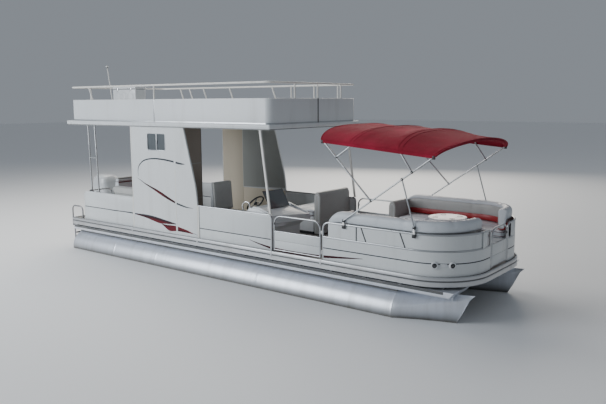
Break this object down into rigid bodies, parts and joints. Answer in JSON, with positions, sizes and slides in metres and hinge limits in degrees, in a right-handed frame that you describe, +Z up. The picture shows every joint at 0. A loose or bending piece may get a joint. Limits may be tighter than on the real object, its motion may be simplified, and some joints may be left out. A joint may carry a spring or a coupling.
{
  "type": "double-deck pontoon boat",
  "caption": "Pontoon boat with round aluminium pontoons, white fenced deck, small cabin, railed roof deck, red bow canopy and a grey outboard motor.",
  "frame": {"origin": "middle of the boat's length and beam, at the lowest line of the pontoons", "axes": "+X forward to the bow, +Y to port, +Z up"},
  "size_m": [9.7551, 2.59, 4.079],
  "materials": {
    "white_panel": "gloss enamel on aluminium sheet",
    "bare_aluminium": "brushed mill finish",
    "deck_board": "short outdoor carpet on plywood",
    "dark_frame": "dull mill finish in shade",
    "motor_grey": "satin grey enamel",
    "black_plastic": "moulded black",
    "canopy_red": "woven acrylic canvas",
    "pale_vinyl": "padded marine vinyl",
    "red_vinyl": "padded marine vinyl",
    "tinted_glass": "dark tinted pane",
    "brown_panel": "dark laminated panel",
    "stainless": "polished tube"
  },
  "bodies": {
    "boat": {"pontoon_starboard": "bare_aluminium", "pontoon_port": "bare_aluminium", "deck_frame": "dark_frame", "deck": "deck_board", "rub_rail": "bare_aluminium", "motor_pod": "bare_aluminium", "motor_clamp": "black_plastic", "boarding_hoops": "stainless", "fence_aft_starboard": "white_panel", "fence_aft_port": "white_panel", "fence_helm_starboard": "white_panel", "fence_bow_starboard": "white_panel", "fence_port": "white_panel", "fence_stern": "white_panel", "cabin_wall_starboard": "white_panel", "cabin_wall_port": "white_panel", "cabin_window_starboard": "tinted_glass", "cabin_window_port": "tinted_glass", "head_compartment": "brown_panel", "post_forward_starboard": "white_panel", "post_forward_port": "white_panel", "post_aft_starboard": "white_panel", "post_aft_port": "white_panel", "roof_deck": "white_panel", "roof_panels": "white_panel", "roof_rail": "bare_aluminium", "light_pole": "bare_aluminium", "roof_locker": "white_panel", "roof_ladder": "bare_aluminium", "canopy_frame": "bare_aluminium", "canopy": "canopy_red", "console": "white_panel", "windscreen": "tinted_glass", "helm_pedestal": "bare_aluminium", "lounge_starboard": "white_panel", "lounge_cushion_starboard": "pale_vinyl", "lounge_pad_starboard": "pale_vinyl", "lounge_port": "white_panel", "lounge_cushion_port": "pale_vinyl", "lounge_pad_port": "pale_vinyl", "rear_seat": "white_panel", "rear_seat_cushion": "pale_vinyl", "stern_bench": "white_panel", "stern_bench_cushion": "red_vinyl", "aft_seat": "white_panel", "aft_seat_cushion": "red_vinyl", "table": "white_panel"},
    "motor_bracket": {"motor_swivel": "black_plastic"},
    "motor": {"motor_leg": "motor_grey", "motor_cowl": "motor_grey"},
    "propeller_body": {"propeller": "dark_frame"},
    "boarding_ladder": {"boarding_steps": "stainless"},
    "side_gate": {"gate_side": "white_panel"},
    "port_gate": {"gate_port": "white_panel"},
    "bow_gate": {"gate_bow": "white_panel"},
    "stern_gate": {"gate_stern": "white_panel"},
    "compartment_door": {"head_door": "brown_panel"},
    "hatch_lid": {"roof_hatch_lid": "white_panel"},
    "helm_wheel": {"steering_wheel": "black_plastic"},
    "helm_chair": {"helm_seat": "pale_vinyl"}
  },
  "joints": [
    {"name": "motor_tilt", "type": "hinge", "parent": "boat", "child": "motor_bracket", "pos_m": [-4.307, 0, 1], "axis": [0, 1, 0], "range_deg": [0, 45]},
    {"name": "motor_steer", "type": "hinge", "parent": "motor_bracket", "child": "motor", "pos_m": [-4.367, 0, 0.805], "axis": [0, 0, 1], "range_deg": [-30, 30]},
    {"name": "propeller_turn", "type": "hinge", "parent": "motor", "child": "propeller_body", "pos_m": [-4.765, 0, 0.19], "axis": [1, 0, 0], "continuous": true},
    {"name": "boarding_ladder_fold", "type": "hinge", "parent": "boat", "child": "boarding_ladder", "pos_m": [-4.087, -1.04, 0.8], "axis": [0, 1, 0], "range_deg": [0, 150]},
    {"name": "side_gate_swing", "type": "hinge", "parent": "boat", "child": "side_gate", "pos_m": [2.501, -1.237, 1.25], "axis": [0, 0, -1], "range_deg": [0, 90]},
    {"name": "port_gate_swing", "type": "hinge", "parent": "boat", "child": "port_gate", "pos_m": [2.501, 1.237, 1.25], "axis": [0, 0, 1], "range_deg": [0, 90]},
    {"name": "bow_gate_swing", "type": "hinge", "parent": "boat", "child": "bow_gate", "pos_m": [4.812, -0.3, 1.25], "axis": [0, 0, 1], "range_deg": [0, 90]},
    {"name": "stern_gate_swing", "type": "hinge", "parent": "boat", "child": "stern_gate", "pos_m": [-3.591, -0.548, 1.25], "axis": [0, 0, 1], "range_deg": [0, 90]},
    {"name": "compartment_door_swing", "type": "hinge", "parent": "boat", "child": "compartment_door", "pos_m": [-1.009, -0.566, 1.9], "axis": [0, 0, -1], "range_deg": [0, 90]},
    {"name": "hatch_lid_swing", "type": "hinge", "parent": "boat", "child": "hatch_lid", "pos_m": [-2.627, 0.82, 3.016], "axis": [0, 1, 0], "range_deg": [0, 100]},
    {"name": "helm_wheel_turn", "type": "hinge", "parent": "boat", "child": "helm_wheel", "pos_m": [0.808, -0.85, 1.635], "axis": [-0.7511, 0, 0.6601], "range_deg": [-720, 720]},
    {"name": "helm_chair_swivel", "type": "hinge", "parent": "boat", "child": "helm_chair", "pos_m": [0.153, -0.76, 1.29], "axis": [0, 0, 1], "continuous": true}
  ]
}
